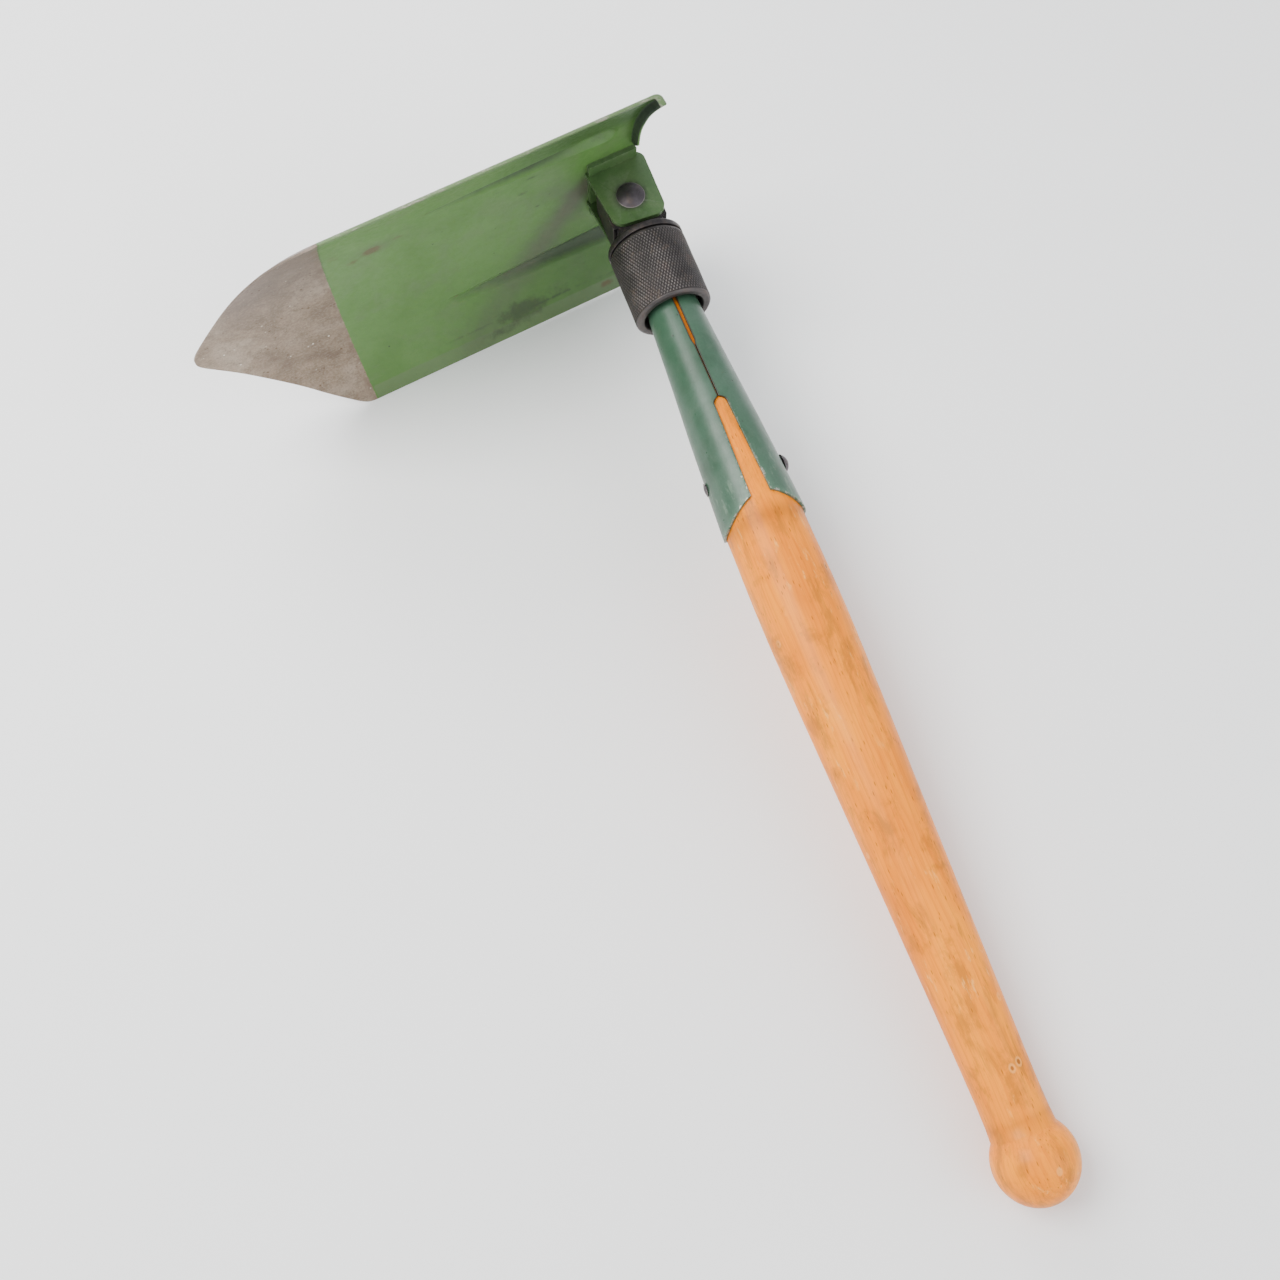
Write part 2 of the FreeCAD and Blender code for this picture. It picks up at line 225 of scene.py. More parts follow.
def blade_paint(name):
    m = N(name)
    oc = m.attr("oc")
    A = lambda k: m.attr(k, "Fac")
    n1 = m.noise(oc, 0.020, 4.0, 0.55, 0.4)
    n2 = m.noise(m.scaled(oc, (1, 1, 1), (40, 7, 3)), 0.060, 6.0, 0.62, 0.3)
    n3 = m.noise(m.scaled(oc, (1, 1, 1), (4, 70, 13)), 0.22, 5.0, 0.65)
    fine = m.noise(oc, 1.2, 3.0, 0.7)
    half = lambda x: m.math("SUBTRACT", x, 0.5)
    col = m.ramp(n1, [(0.34, (0.068, 0.160, 0.029)), (0.50, (0.082, 0.184, 0.040)), (0.66, (0.096, 0.194, 0.052))])
    # faded, slightly greyed areas
    col = m.mix(m.math("MULTIPLY", m.sstep(n2, 0.48, 0.70), 0.38), col, (0.102, 0.152, 0.066))
    col = m.mix(m.math("MULTIPLY", m.sstep(n3, 0.42, 0.72), 0.22), col, (0.055, 0.110, 0.028))
    col = m.mix(m.math("MULTIPLY", m.sstep(fine, 0.40, 0.75), 0.14), col, (0.045, 0.085, 0.028))
    # long rubbed lines
    st = m.noise(m.scaled(oc, (0.014, 0.85, 0.85)), 1.0, 5.0, 0.7)
    col = m.mix(m.math("MULTIPLY", m.sstep(st, 0.58, 0.74), 0.20), col, (0.165, 0.205, 0.115))
    # painted shade in the curl beside the hinge and toward the far edge, paler band along the long edges
    col = m.mix(m.math("MULTIPLY", A("curl_shade"), 0.78), col, (0.026, 0.066, 0.014))
    band = m.sstep(m.math("ADD", A("band"), m.math("MULTIPLY", half(n3), 0.35)), 0.45, 0.75)
    col = m.mix(m.math("MULTIPLY", band, 0.42), col, (0.122, 0.152, 0.088))
    # painted shade of a crease: a thin dark line along the upturned flanks
    crease_shade = m.math("MULTIPLY", A("crease_shade"), m.sstep(n3, 0.40, 0.56))
    col = m.mix(m.math("MULTIPLY", crease_shade, 0.80), col, (0.030, 0.050, 0.022))
    # dirt held in the pressed grooves, with painted shade in their hollows, stronger on the far groove
    g = m.math("MULTIPLY", A("groove_dirt_and_shade"), m.math("ADD", 0.55, m.math("MULTIPLY", n3, 0.75)), clamp=True)
    col = m.mix(m.math("MULTIPLY", m.sstep(g, 0.05, 0.75), 0.80), col, (0.034, 0.050, 0.028))
    # worn and stained places, and darker patches
    w = m.sstep(m.math("ADD", A("grey"), m.math("MULTIPLY", half(n2), 0.50)), 0.10, 1.0)
    col = m.mix(m.math("MULTIPLY", w, 0.85), col, m.mix(m.sstep(A("grey"), 0.55, 1.0), (0.072, 0.092, 0.050), (0.088, 0.082, 0.058)))
    # darker patches: small dark spots, and broad darker areas toward the far edge beside the hinge
    d = m.sstep(m.math("ADD", A("dark"), m.math("MULTIPLY", half(n3), 0.9)), 0.36, 0.90)
    col = m.mix(m.math("MULTIPLY", d, 0.72), col, (0.034, 0.046, 0.022))
    b = m.sstep(m.math("ADD", A("brown"), m.math("MULTIPLY", half(n3), 0.8)), 0.34, 0.85)
    col = m.mix(m.math("MULTIPLY", b, 0.70), col, (0.090, 0.048, 0.022))
    # freckles
    pit = m.math("SUBTRACT", 1.0, m.sstep(m.voro(oc, 0.12), 0.03, 0.09))
    pit = m.math("MULTIPLY", pit, m.sstep(m.noise(oc, 0.07, 2.0), 0.50, 0.60))
    col = m.mix(m.math("MULTIPLY", pit, 0.80), col, (0.030, 0.032, 0.020))
    rust = m.math("MULTIPLY", m.sstep(m.noise(m.scaled(oc, (1, 1, 1), (11, 90, 5)), 0.045, 7.0, 0.7), 0.67, 0.74), m.sstep(fine, 0.4, 0.6))
    col = m.mix(m.math("MULTIPLY", rust, 0.55), col, (0.085, 0.045, 0.022))
    # painted shade on the inner face of the rear lip, dark grey
    lip = m.sstep(m.math("ADD", A("lip"), m.math("MULTIPLY", half(n3), 0.5)), 0.30, 0.85)
    col = m.mix(m.math("MULTIPLY", lip, 0.88), col, (0.026, 0.032, 0.028))
    # chips to bare metal along the rim
    ed = m.math("ADD", A("edge"), m.math("MULTIPLY", half(m.noise(m.scaled(oc, (0.30, 1, 1)), 0.45, 5.0, 0.7)), 4.4))
    bare = m.math("SUBTRACT", 1.0, m.sstep(ed, -0.75, 0.25))
    steel = m.ramp(m.noise(oc, 0.7, 4.0), [(0.3, (0.20, 0.18, 0.145)), (0.7, (0.42, 0.40, 0.35))])
    col = m.mix(m.math("MULTIPLY", bare, 0.85), col, steel)
    # ground point
    tipv = A("tip")
    tip = m.sstep(m.math("ADD", tipv, m.math("MULTIPLY", half(m.noise(oc, 0.5, 4.0, 0.7)), 1.5)), -0.35, 0.35)
    g1 = m.noise(m.scaled(oc, (0.12, 1.6, 1.0)), 0.7, 6.0, 0.75)
    g2 = m.noise(oc, 0.040, 6.0, 0.65, 0.5)
    g3 = m.noise(m.scaled(oc, (1, 1, 1), (33, 8, 71)), 0.16, 6.0, 0.7)
    ground = m.ramp(g2, [(0.34, (0.150, 0.106, 0.074)), (0.50, (0.232, 0.172, 0.122)), (0.64, (0.315, 0.252, 0.190))])
    ground = m.mix(m.math("MULTIPLY", m.sstep(g3, 0.45, 0.66), 0.50), ground, (0.132, 0.092, 0.062))
    grit = m.noise(m.scaled(oc, (1, 1, 1), (3, 9, 81)), 0.85, 4.0, 0.75)
    ground = m.mix(m.math("MULTIPLY", m.sstep(grit, 0.50, 0.66), 0.36), ground, (0.115, 0.080, 0.055))
    ground = m.mix(m.math("MULTIPLY", m.sstep(grit, 0.50, 0.36), 0.22), ground, (0.42, 0.37, 0.30))
    # painted shade over the near-side half of the ground point
    ground = m.mix(m.math("MULTIPLY", A("curl_shade"), 0.50), ground, (0.130, 0.104, 0.096))
    ground = m.mix(m.math("MULTIPLY", m.sstep(g1, 0.45, 0.72), 0.34), ground, (0.34, 0.285, 0.225))
    spots = m.math("MULTIPLY", m.math("SUBTRACT", 1.0, m.sstep(m.voro(oc, 0.30), 0.10, 0.26)), m.sstep(m.noise(oc, 0.12, 4.0, 0.6), 0.47, 0.62))
    ground = m.mix(m.math("MULTIPLY", spots, 0.70), ground, (0.075, 0.040, 0.022))
    nicks = m.math("MULTIPLY", m.math("SUBTRACT", 1.0, m.sstep(m.voro(m.scaled(oc, (1, 1, 1), (5, 51, 3)), 0.21), 0.06, 0.15)), m.sstep(m.noise(oc, 0.06, 3.0, 0.6), 0.52, 0.62))
    ground = m.mix(m.math("MULTIPLY", nicks, 0.85), ground, (0.68, 0.64, 0.54))
    brd = m.math("MULTIPLY", m.math("SUBTRACT", 1.0, m.sstep(tipv, 0.8, 5.0)), m.sstep(n3, 0.35, 0.60))
    ground = m.mix(m.math("MULTIPLY", brd, 0.55), ground, (0.155, 0.105, 0.075))
    col = m.mix(tip, col, ground)
    m.put(m.b.inputs["Base Color"], col)
    metal = m.math("MAXIMUM", m.math("MULTIPLY", bare, 0.75), m.math("MULTIPLY", tip, 0.45))
    rough = m.ramp(m.noise(oc, 0.3, 5.0, 0.65), [(0.3, 0.40), (0.7, 0.56)])
    rough = m.mix(tip, rough, m.ramp(g1, [(0.3, 0.36), (0.7, 0.56)]))
    m.put(m.b.inputs["Roughness"], rough)
    m.put(m.b.inputs["Metallic"], metal)
    m.b.inputs["Specular IOR Level"].default_value = 0.42
    m.bump([(m.noise(oc, 2.2, 3.0, 0.6), 0.00003, 0.30), (n2, 0.0004, 0.20), (m.math("SUBTRACT", 1.0, m.math("MAXIMUM", bare, pit)), 0.00012, 0.55),
            (m.math("MULTIPLY", g1, tip), 0.00010, 0.55), (m.math("SUBTRACT", 1.0, tip), 0.00015, 0.5)])
    return m.m


def paint(name, dark, mid, light, wear=0.6, gloss=(0.36, 0.52), pin=False, rim=False):
    m = N(name)
    oc = m.attr("oc")
    n1 = m.noise(oc, 0.030, 5.0, 0.6, 0.5)
    n2 = m.noise(m.scaled(oc, (1, 1, 1), (40, 7, 3)), 0.075, 6.0, 0.62, 0.3)
    fine = m.noise(oc, 1.1, 3.0, 0.7)
    half = lambda x: m.math("SUBTRACT", x, 0.5)
    col = m.ramp(n1, [(0.34, dark), (0.50, mid), (0.66, light)])
    col = m.mix(m.math("MULTIPLY", m.sstep(n2, 0.50, 0.68), 0.30), col, tuple(0.8 * c + 0.2 * g for c, g in zip(light, (0.16, 0.17, 0.12))))
    col = m.mix(m.math("MULTIPLY", m.sstep(fine, 0.35, 0.75), 0.18), col, tuple(c * 0.40 for c in dark))
    st = m.noise(m.scaled(oc, (0.9, 0.9, 0.02)), 1.0, 5.0, 0.7)
    col = m.mix(m.math("MULTIPLY", m.sstep(st, 0.60, 0.74), 0.20), col, tuple(min(1.0, c * 1.7) for c in light))
    pit = m.math("SUBTRACT", 1.0, m.sstep(m.voro(oc, 0.14), 0.035, 0.10))
    pit = m.math("MULTIPLY", pit, m.sstep(m.noise(oc, 0.07, 2.0), 0.50, 0.60))
    col = m.mix(m.math("MULTIPLY", pit, 0.75), col, (0.020, 0.022, 0.016))
    rust = m.math("MULTIPLY", m.sstep(m.noise(m.scaled(oc, (1, 1, 1), (11, 90, 5)), 0.05, 7.0, 0.7), 0.64, 0.73), m.sstep(fine, 0.4, 0.6))
    col = m.mix(m.math("MULTIPLY", rust, 0.6), col, (0.075, 0.036, 0.018))
    if pin:
        # dirt trodden in around the pivot head
        sep = m.node("SeparateXYZ", {"Vector": oc})
        rr = m.math("SQRT", m.math("ADD", m.math("MULTIPLY", sep.outputs[0], sep.outputs[0]), m.math("MULTIPLY", sep.outputs[2], sep.outputs[2])))
        rr = m.math("ADD", rr, m.math("MULTIPLY", half(m.noise(oc, 0.25, 4.0, 0.6)), 3.0))
        dd = m.math("SUBTRACT", 1.0, m.sstep(rr, 7.0, 10.0))
        col = m.mix(m.math("MULTIPLY", dd, 0.72), col, (0.024, 0.030, 0.016))
    pt = m.node("NewGeometry").outputs["Pointiness"]
    edge = m.math("ADD", pt, m.math("MULTIPLY", half(m.noise(oc, 0.5, 4.0)), 0.09))
    bare = m.math("MULTIPLY", m.sstep(edge, 0.525, 0.56), wear)
    if rim:
        e2 = m.math("ADD", m.attr("rim", "Fac"), m.math("MULTIPLY", half(m.noise(m.scaled(oc, (1, 1, 1), (3, 8, 40)), 0.42, 5.0, 0.75)), 9.5))
        sz = m.node("SeparateXYZ", {"Vector": oc}).outputs[2]
        chips = m.math("MULTIPLY", m.math("SUBTRACT", 1.0, m.sstep(e2, -0.30, 0.40)), m.math("ADD", 0.22, m.math("MULTIPLY", m.sstep(sz, 150.0, 168.0), 0.78)))
        chips = m.math("MULTIPLY", chips, m.sstep(sz, 120.0, 126.0))
        seam = m.math("MULTIPLY", m.math("SUBTRACT", 1.0, m.sstep(m.attr("rim", "Fac"), 0.15, 0.9)), m.math("SUBTRACT", 1.0, m.sstep(sz, 120.0, 132.0)))
        col = m.mix(m.math("MULTIPLY", seam, 0.85), col, (0.020, 0.012, 0.006))
        smear = m.math("MULTIPLY", m.sstep(m.noise(m.scaled(oc, (0.3, 0.3, 0.12), (5, 1, 8)), 1.0, 5.0, 0.7), 0.54, 0.68), m.math("MULTIPLY", m.sstep(sz, 138.0, 165.0), 0.55))
        col = m.mix(smear, col, (0.120, 0.190, 0.130))
        bare = m.math("MAXIMUM", bare, chips)
        near = m.math("MULTIPLY", m.math("SUBTRACT", 1.0, m.sstep(m.attr("rim", "Fac"), 0.4, 4.0)), m.sstep(sz, 150.0, 170.0))
        col = m.mix(m.math("MULTIPLY", near, 0.30), col, tuple(min(1.0, c * 1.9) for c in light))
    steel = m.ramp(m.noise(oc, 0.7, 4.0), [(0.3, (0.16, 0.17, 0.13)), (0.7, (0.44, 0.45, 0.38))])
    col = m.mix(bare, col, steel)
    m.put(m.b.inputs["Base Color"], col)
    m.put(m.b.inputs["Roughness"], m.ramp(m.noise(oc, 0.3, 5.0, 0.65), [(0.3, gloss[0]), (0.7, gloss[1])]))
    m.put(m.b.inputs["Metallic"], m.math("MULTIPLY", bare, 0.7))
    m.b.inputs["Specular IOR Level"].default_value = 0.5
    m.bump([(m.noise(oc, 2.2, 3.0, 0.6), 0.00003, 0.30), (n2, 0.0004, 0.22), (m.math("SUBTRACT", 1.0, m.math("MAXIMUM", bare, pit)), 0.00012, 0.6)])
    return m.m


def black_steel(name, base=(0.060, 0.052, 0.052), brown=(0.085, 0.058, 0.045), knurl=False):
    m = N(name)
    oc = m.attr("oc")
    n1 = m.noise(oc, 0.09, 6.0, 0.65, 0.4)
    n2 = m.noise(m.scaled(oc, (1, 1, 1), (9, 3, 50)), 0.45, 6.0, 0.7)
    col = m.ramp(n1, [(0.33, tuple(c * 0.62 for c in base)), (0.5, base), (0.66, brown)])
    pt = m.node("NewGeometry").outputs["Pointiness"]
    e = m.sstep(m.math("ADD", pt, m.math("MULTIPLY", m.math("SUBTRACT", n2, 0.5), 0.08)), 0.53, 0.60)
    if knurl:
        cr = m.attr("crest", "Fac")
        worn = m.math("MULTIPLY", m.sstep(cr, 0.40, 0.90), m.math("ADD", 0.30, m.math("MULTIPLY", m.sstep(m.noise(oc, 0.16, 5.0, 0.65), 0.36, 0.62), 0.70)))
        cut = m.math("SUBTRACT", 1.0, m.sstep(cr, 0.10, 0.42))
        cut = m.math("MULTIPLY", cut, m.sstep(cr, 0.004, 0.015))
        col = m.mix(m.math("MULTIPLY", cut, 0.86), col, (0.012, 0.010, 0.010))
        col = m.mix(m.math("MULTIPLY", worn, 0.62), col, (0.170, 0.156, 0.148))
        # painted glints on the knurl crests
        painted_glint = m.math("MULTIPLY", m.sstep(n2, 0.60, 0.72), m.sstep(cr, 0.3, 0.7))
        col = m.mix(m.math("MULTIPLY", painted_glint, 0.7), col, (0.42, 0.39, 0.34))
        e = m.math("MULTIPLY", e, m.math("SUBTRACT", 1.0, m.sstep(cr, 0.01, 0.05)))
    col = m.mix(m.math("MULTIPLY", e, 0.6), col, (0.30, 0.28, 0.26))
    dust = m.math("MULTIPLY", m.sstep(m.noise(oc, 0.25, 5.0, 0.7), 0.52, 0.72), 0.3)
    col = m.mix(dust, col, (0.15, 0.105, 0.075))
    m.put(m.b.inputs["Base Color"], col)
    m.put(m.b.inputs["Roughness"], m.ramp(n2, [(0.3, 0.38), (0.7, 0.58)]))
    m.b.inputs["Metallic"].default_value = 0.72
    m.bump([(n2, 0.00006, 0.5), (m.noise(oc, 1.8, 3.0), 0.00002, 0.4)])
    return m.m


def wood(name):
    m = N(name)
    oc = m.attr("oc")
    half = lambda x: m.math("SUBTRACT", x, 0.5)
    # growth lines: planes of a large noise-warped block, running along the handle
    warp = m.noise(m.scaled(oc, (0.05, 0.05, 0.004)), 1.0, 3.0, 0.5)
    sep = m.node("SeparateXYZ", {"Vector": oc})
    ring = m.math("ADD", m.math("MULTIPLY", sep.outputs[0], 0.34), m.math("ADD", m.math("MULTIPLY", sep.outputs[1], 0.16), m.math("MULTIPLY", warp, 9.0)))
    ring = m.math("ADD", ring, m.math("MULTIPLY", sep.outputs[2], 0.004))
    wv = m.math("FRACT", ring)
    late = m.math("MULTIPLY", m.sstep(wv, 0.45, 0.93), m.math("SUBTRACT", 1.0, m.sstep(wv, 0.95, 1.0)))
    tone = m.noise(m.scaled(oc, (0.045, 0.045, 0.012)), 1.0, 4.0, 0.6, 0.4)
    col = m.ramp(tone, [(0.34, (0.76, 0.190, 0.0)), (0.50, (0.93, 0.258, 0.0002)), (0.66, (1.0, 0.312, 0.0008))])
    col = m.mix(m.math("MULTIPLY", late, 0.28), col, (0.58, 0.115, 0.0005))
    fibre = m.noise(m.scaled(oc, (1.7, 1.7, 0.035)), 1.0, 6.0, 0.7)
    col = m.mix(m.math("MULTIPLY", m.sstep(fibre, 0.46, 0.72), 0.36), col, (0.54, 0.110, 0.0005))
    light = m.noise(m.scaled(oc, (1.1, 1.1, 0.02), (31, 5, 2)), 1.0, 5.0, 0.7)
    col = m.mix(m.math("MULTIPLY", m.sstep(light, 0.52, 0.74), 0.28), col, (1.0, 0.37, 0.012))
    # handled, greyed patches
    soil = m.noise(m.scaled(oc, (0.10, 0.10, 0.035), (7, 3, 1)), 1.0, 6.0, 0.68, 0.5)
    col = m.mix(m.math("MULTIPLY", m.sstep(soil, 0.49, 0.66), 0.60), col, (0.38, 0.125, 0.010))
    # short dark flecks of the wood's rays
    fv = m.voro(m.scaled(oc, (0.62, 0.62, 0.13)), 1.0)
    fl = m.math("SUBTRACT", 1.0, m.sstep(fv, 0.07, 0.20))
    fl = m.math("MULTIPLY", fl, m.sstep(m.noise(m.scaled(oc, (0.12, 0.12, 0.03)), 1.0, 3.0), 0.34, 0.52))
    col = m.mix(m.math("MULTIPLY", fl, 0.72), col, (0.24, 0.060, 0.002))
    # dark dents and small pale ring-shaped bruises
    pv = m.voro(m.scaled(oc, (1, 1, 0.8), (13, 27, 8)), 0.075)
    gate = m.sstep(m.noise(oc, 0.035, 2.0), 0.42, 0.50)
    spot = m.math("MULTIPLY", m.math("SUBTRACT", 1.0, m.sstep(pv, 0.05, 0.09)), gate)
    halo = m.math("MULTIPLY", m.math("MULTIPLY", m.sstep(pv, 0.05, 0.08), m.math("SUBTRACT", 1.0, m.sstep(pv, 0.11, 0.15))), gate)
    col = m.mix(m.math("MULTIPLY", spot, 0.70), col, (0.22, 0.060, 0.008))
    col = m.mix(m.math("MULTIPLY", halo, 0.45), col, (1.0, 0.45, 0.11))
    dn = m.noise(m.scaled(oc, (1, 1, 1), (70, 2, 9)), 0.06, 5.0, 0.6)
    col = m.mix(m.math("MULTIPLY", m.sstep(dn, 0.56, 0.70), 0.46), col, (0.34, 0.100, 0.006))
    # scuffed pale marks where the varnish is thin, with painted sheen streaks along the handle
    sc = m.noise(m.scaled(oc, (1, 1, 0.22), (2, 60, 19)), 0.30, 6.0, 0.72)
    scuff_and_sheen = m.math("MULTIPLY", m.sstep(sc, 0.57, 0.68), m.sstep(m.noise(oc, 0.03, 2.0), 0.42, 0.54))
    col = m.mix(m.math("MULTIPLY", scuff_and_sheen, 0.50), col, (1.0, 0.52, 0.13))
    # grime and painted shade: darker at the socket mouth, at the neck under the ball, and on wood seen through the
    # socket seam
    end = m.attr("grime_and_shade", "Fac")
    col = m.mix(m.math("MULTIPLY", end, 0.62), col, (0.20, 0.052, 0.006))
    m.put(m.b.inputs["Base Color"], col)
    m.put(m.b.inputs["Roughness"], m.ramp(m.noise(oc, 0.12, 5.0, 0.6), [(0.3, 0.34), (0.7, 0.52)]))
    m.b.inputs["Specular IOR Level"].default_value = 0.10
    m.b.inputs["Coat Weight"].default_value = 0.11
    m.b.inputs["Coat Roughness"].default_value = 0.20
    m.bump([(fibre, 0.00010, 0.35), (fl, 0.00008, 0.3), (m.math("SUBTRACT", 1.0, spot), 0.0003, 0.5), (dn, 0.0008, 0.30)])
    return m.m


M_BLADE = blade_paint("blade_paint")
M_BRACKET = paint("bracket_paint", (0.036, 0.085, 0.022), (0.060, 0.122, 0.037), (0.088, 0.140, 0.055), wear=0.10, gloss=(0.30, 0.46), pin=True)
M_SOCKET = paint("socket_paint_m", (0.021, 0.060, 0.031), (0.032, 0.084, 0.048), (0.048, 0.100, 0.064), wear=0.0, gloss=(0.27, 0.42), rim=True)
M_BLACK = black_steel("black_steel_m", (0.040, 0.035, 0.036), (0.055, 0.040, 0.033))
M_KNURL = black_steel("knurled_steel", (0.072, 0.064, 0.063), (0.086, 0.066, 0.060), knurl=True)
M_HEAD = black_steel("rivet_steel", (0.082, 0.070, 0.078), (0.095, 0.074, 0.074))
M_WOOD = wood("varnished_beech")

# ---- blade ----
FRONT = [(0.0, 227.6), (2.0, 227.5), (5.2, 226.0), (9.0, 223.2), (21.0, 213.0), (38.0, 198.5), (53.0, 184.3), (61.8, 175.5), (70.0, 165.5), (74.0, 159.0), (75.0, 154.0)]
REAR = [(0.0, -14.5), (8.0, -14.5), (16.0, -14.3), (21.0, -14.0), (25.0, -13.5), (32.0, -13.4), (39.0, -13.5), (44.0, -13.8), (48.0, -14.3), (53.0, -14.9), (58.0, -15.6), (62.5, -16.7), (67.0, -18.0), (72.0, -19.0), (74.2, -18.0), (75.0, -16.0)]


def groove(a, y):
    """depth of the two pressed grooves"""
    if a < -2.2 or a > 100.5:
        return 0.0
    t = min(1.0, max(0.0, (a - 4.0) / 93.0))
    dep, wid = 4.0 + (0.75 - 4.0) * t, 7.0 + (2.7 - 7.0) * t
    if a < 4.0:
        q = 1 - ((4.0 - a) / 6.2) ** 2
        if q <= 0:
            return 0.0
        dep *= q
        wid *= math.sqrt(q)
    if a > 92.0:
        dep *= max(0.0, 1 - ((a - 92.0) / 8.5) ** 2)
    d = abs(abs(y) - 40.5) / max(0.8, wid)
    if d >= 1.0:
        return 0.0
    return dep * (1 - d * d) ** 1.35


def section(y):
    return -DEPTH + 18.5 * (abs(y) / 75.0) ** 2.8


def surface(a, y):
    return section(y) - groove(a, y)


def lip_height(y):
    t = min(1.0, max(0.0, (abs(y) - 20.8) / 6.2))
    return 6.35 * (t * t * (3 - 2 * t))


ys = []
k = -75.0
while k < 75.0:
    ys.append(k)
    near = abs(abs(k) - 40.5) < 8.0 or abs(k) > 66.0 or 20.0 < abs(k) < 34.0
    k += 0.45 if near else 1.0
    if -75.0 < k < -74.0:
        k = -74.9 if k < -74.85 else k
ys = sorted(set([round(v, 3) for v in ys] + [-74.9, -74.7, 74.7, 74.9, 75.0, 0.0]))
nA, nB, nS = 236, 12, 8
BR = 2.3
vs, fs, edge, tip, lip_shade = [], [], [], [], []
band, curl_shade, crease_shade, groove_dirt_and_shade, grey, dark, brown = [], [], [], [], [], [], []
# worn, stained and darker places on the front: along, across, two radii, amount
GREY = [(30, -9, 18, 12, 0.55), (126, -30, 22, 7, 0.50), (22, 0, 12, 9, 0.9), (104, 20, 26, 10, 0.25)]
BAND = [(6, -9), (20, 2), (29, 13), (41, 27), (57, 42), (74, 56), (92, 70)]
DARK = [(62, 64, 17, 7, 1.0), (40, 62, 12, 8, 0.55), (24, 54, 8, 6, 0.45), (44, -31, 3.5, 1.3, 0.95), (49, -20, 5, 2.0, 0.75), (42, -4, 2.2, 1.0, 0.9), (63, -31, 4, 1.2, 0.6), (130, 47, 9, 3.0, 0.35), (5, -42, 9, 12, 0.6), (76, 70, 16, 4, 0.7)]
BROWN = [(129, -29, 6.5, 3.6, 1.0), (139, -26, 6, 3.0, 0.6), (115, -31, 5, 2.2, 0.7), (99, -42, 4, 1.8, 0.6), (94, 38.5, 4, 1.5, 0.6), (12, 70, 5, 2.2, 0.85), (66, 40, 10, 2.2, 0.5), (148, -38, 5, 6, 0.55)]


def worn_band(a, y):
    best = 1e9
    along = 0.0
    for k in range(len(BAND) - 1):
        (x0, y0), (x1, y1) = BAND[k], BAND[k + 1]
        dx, dy = x1 - x0, y1 - y0
        t = max(0.0, min(1.0, ((a - x0) * dx + (y - y0) * dy) / (dx * dx + dy * dy)))
        d = math.hypot(a - x0 - t * dx, y - y0 - t * dy)
        if d < best:
            best, along = d, (k + t) / (len(BAND) - 1)
    return (1.0 - 0.45 * along) * math.exp(-((best / (11.0 + 4.0 * along)) ** 2))


def blobs(lst, a, y):
    t = 0.0
    for ca, cy, ra, ry, k in lst:
        q = ((a - ca) / ra) ** 2 + ((y - cy) / ry) ** 2
        if q < 9:
            t = max(t, k * math.exp(-q * 0.9))
    return t


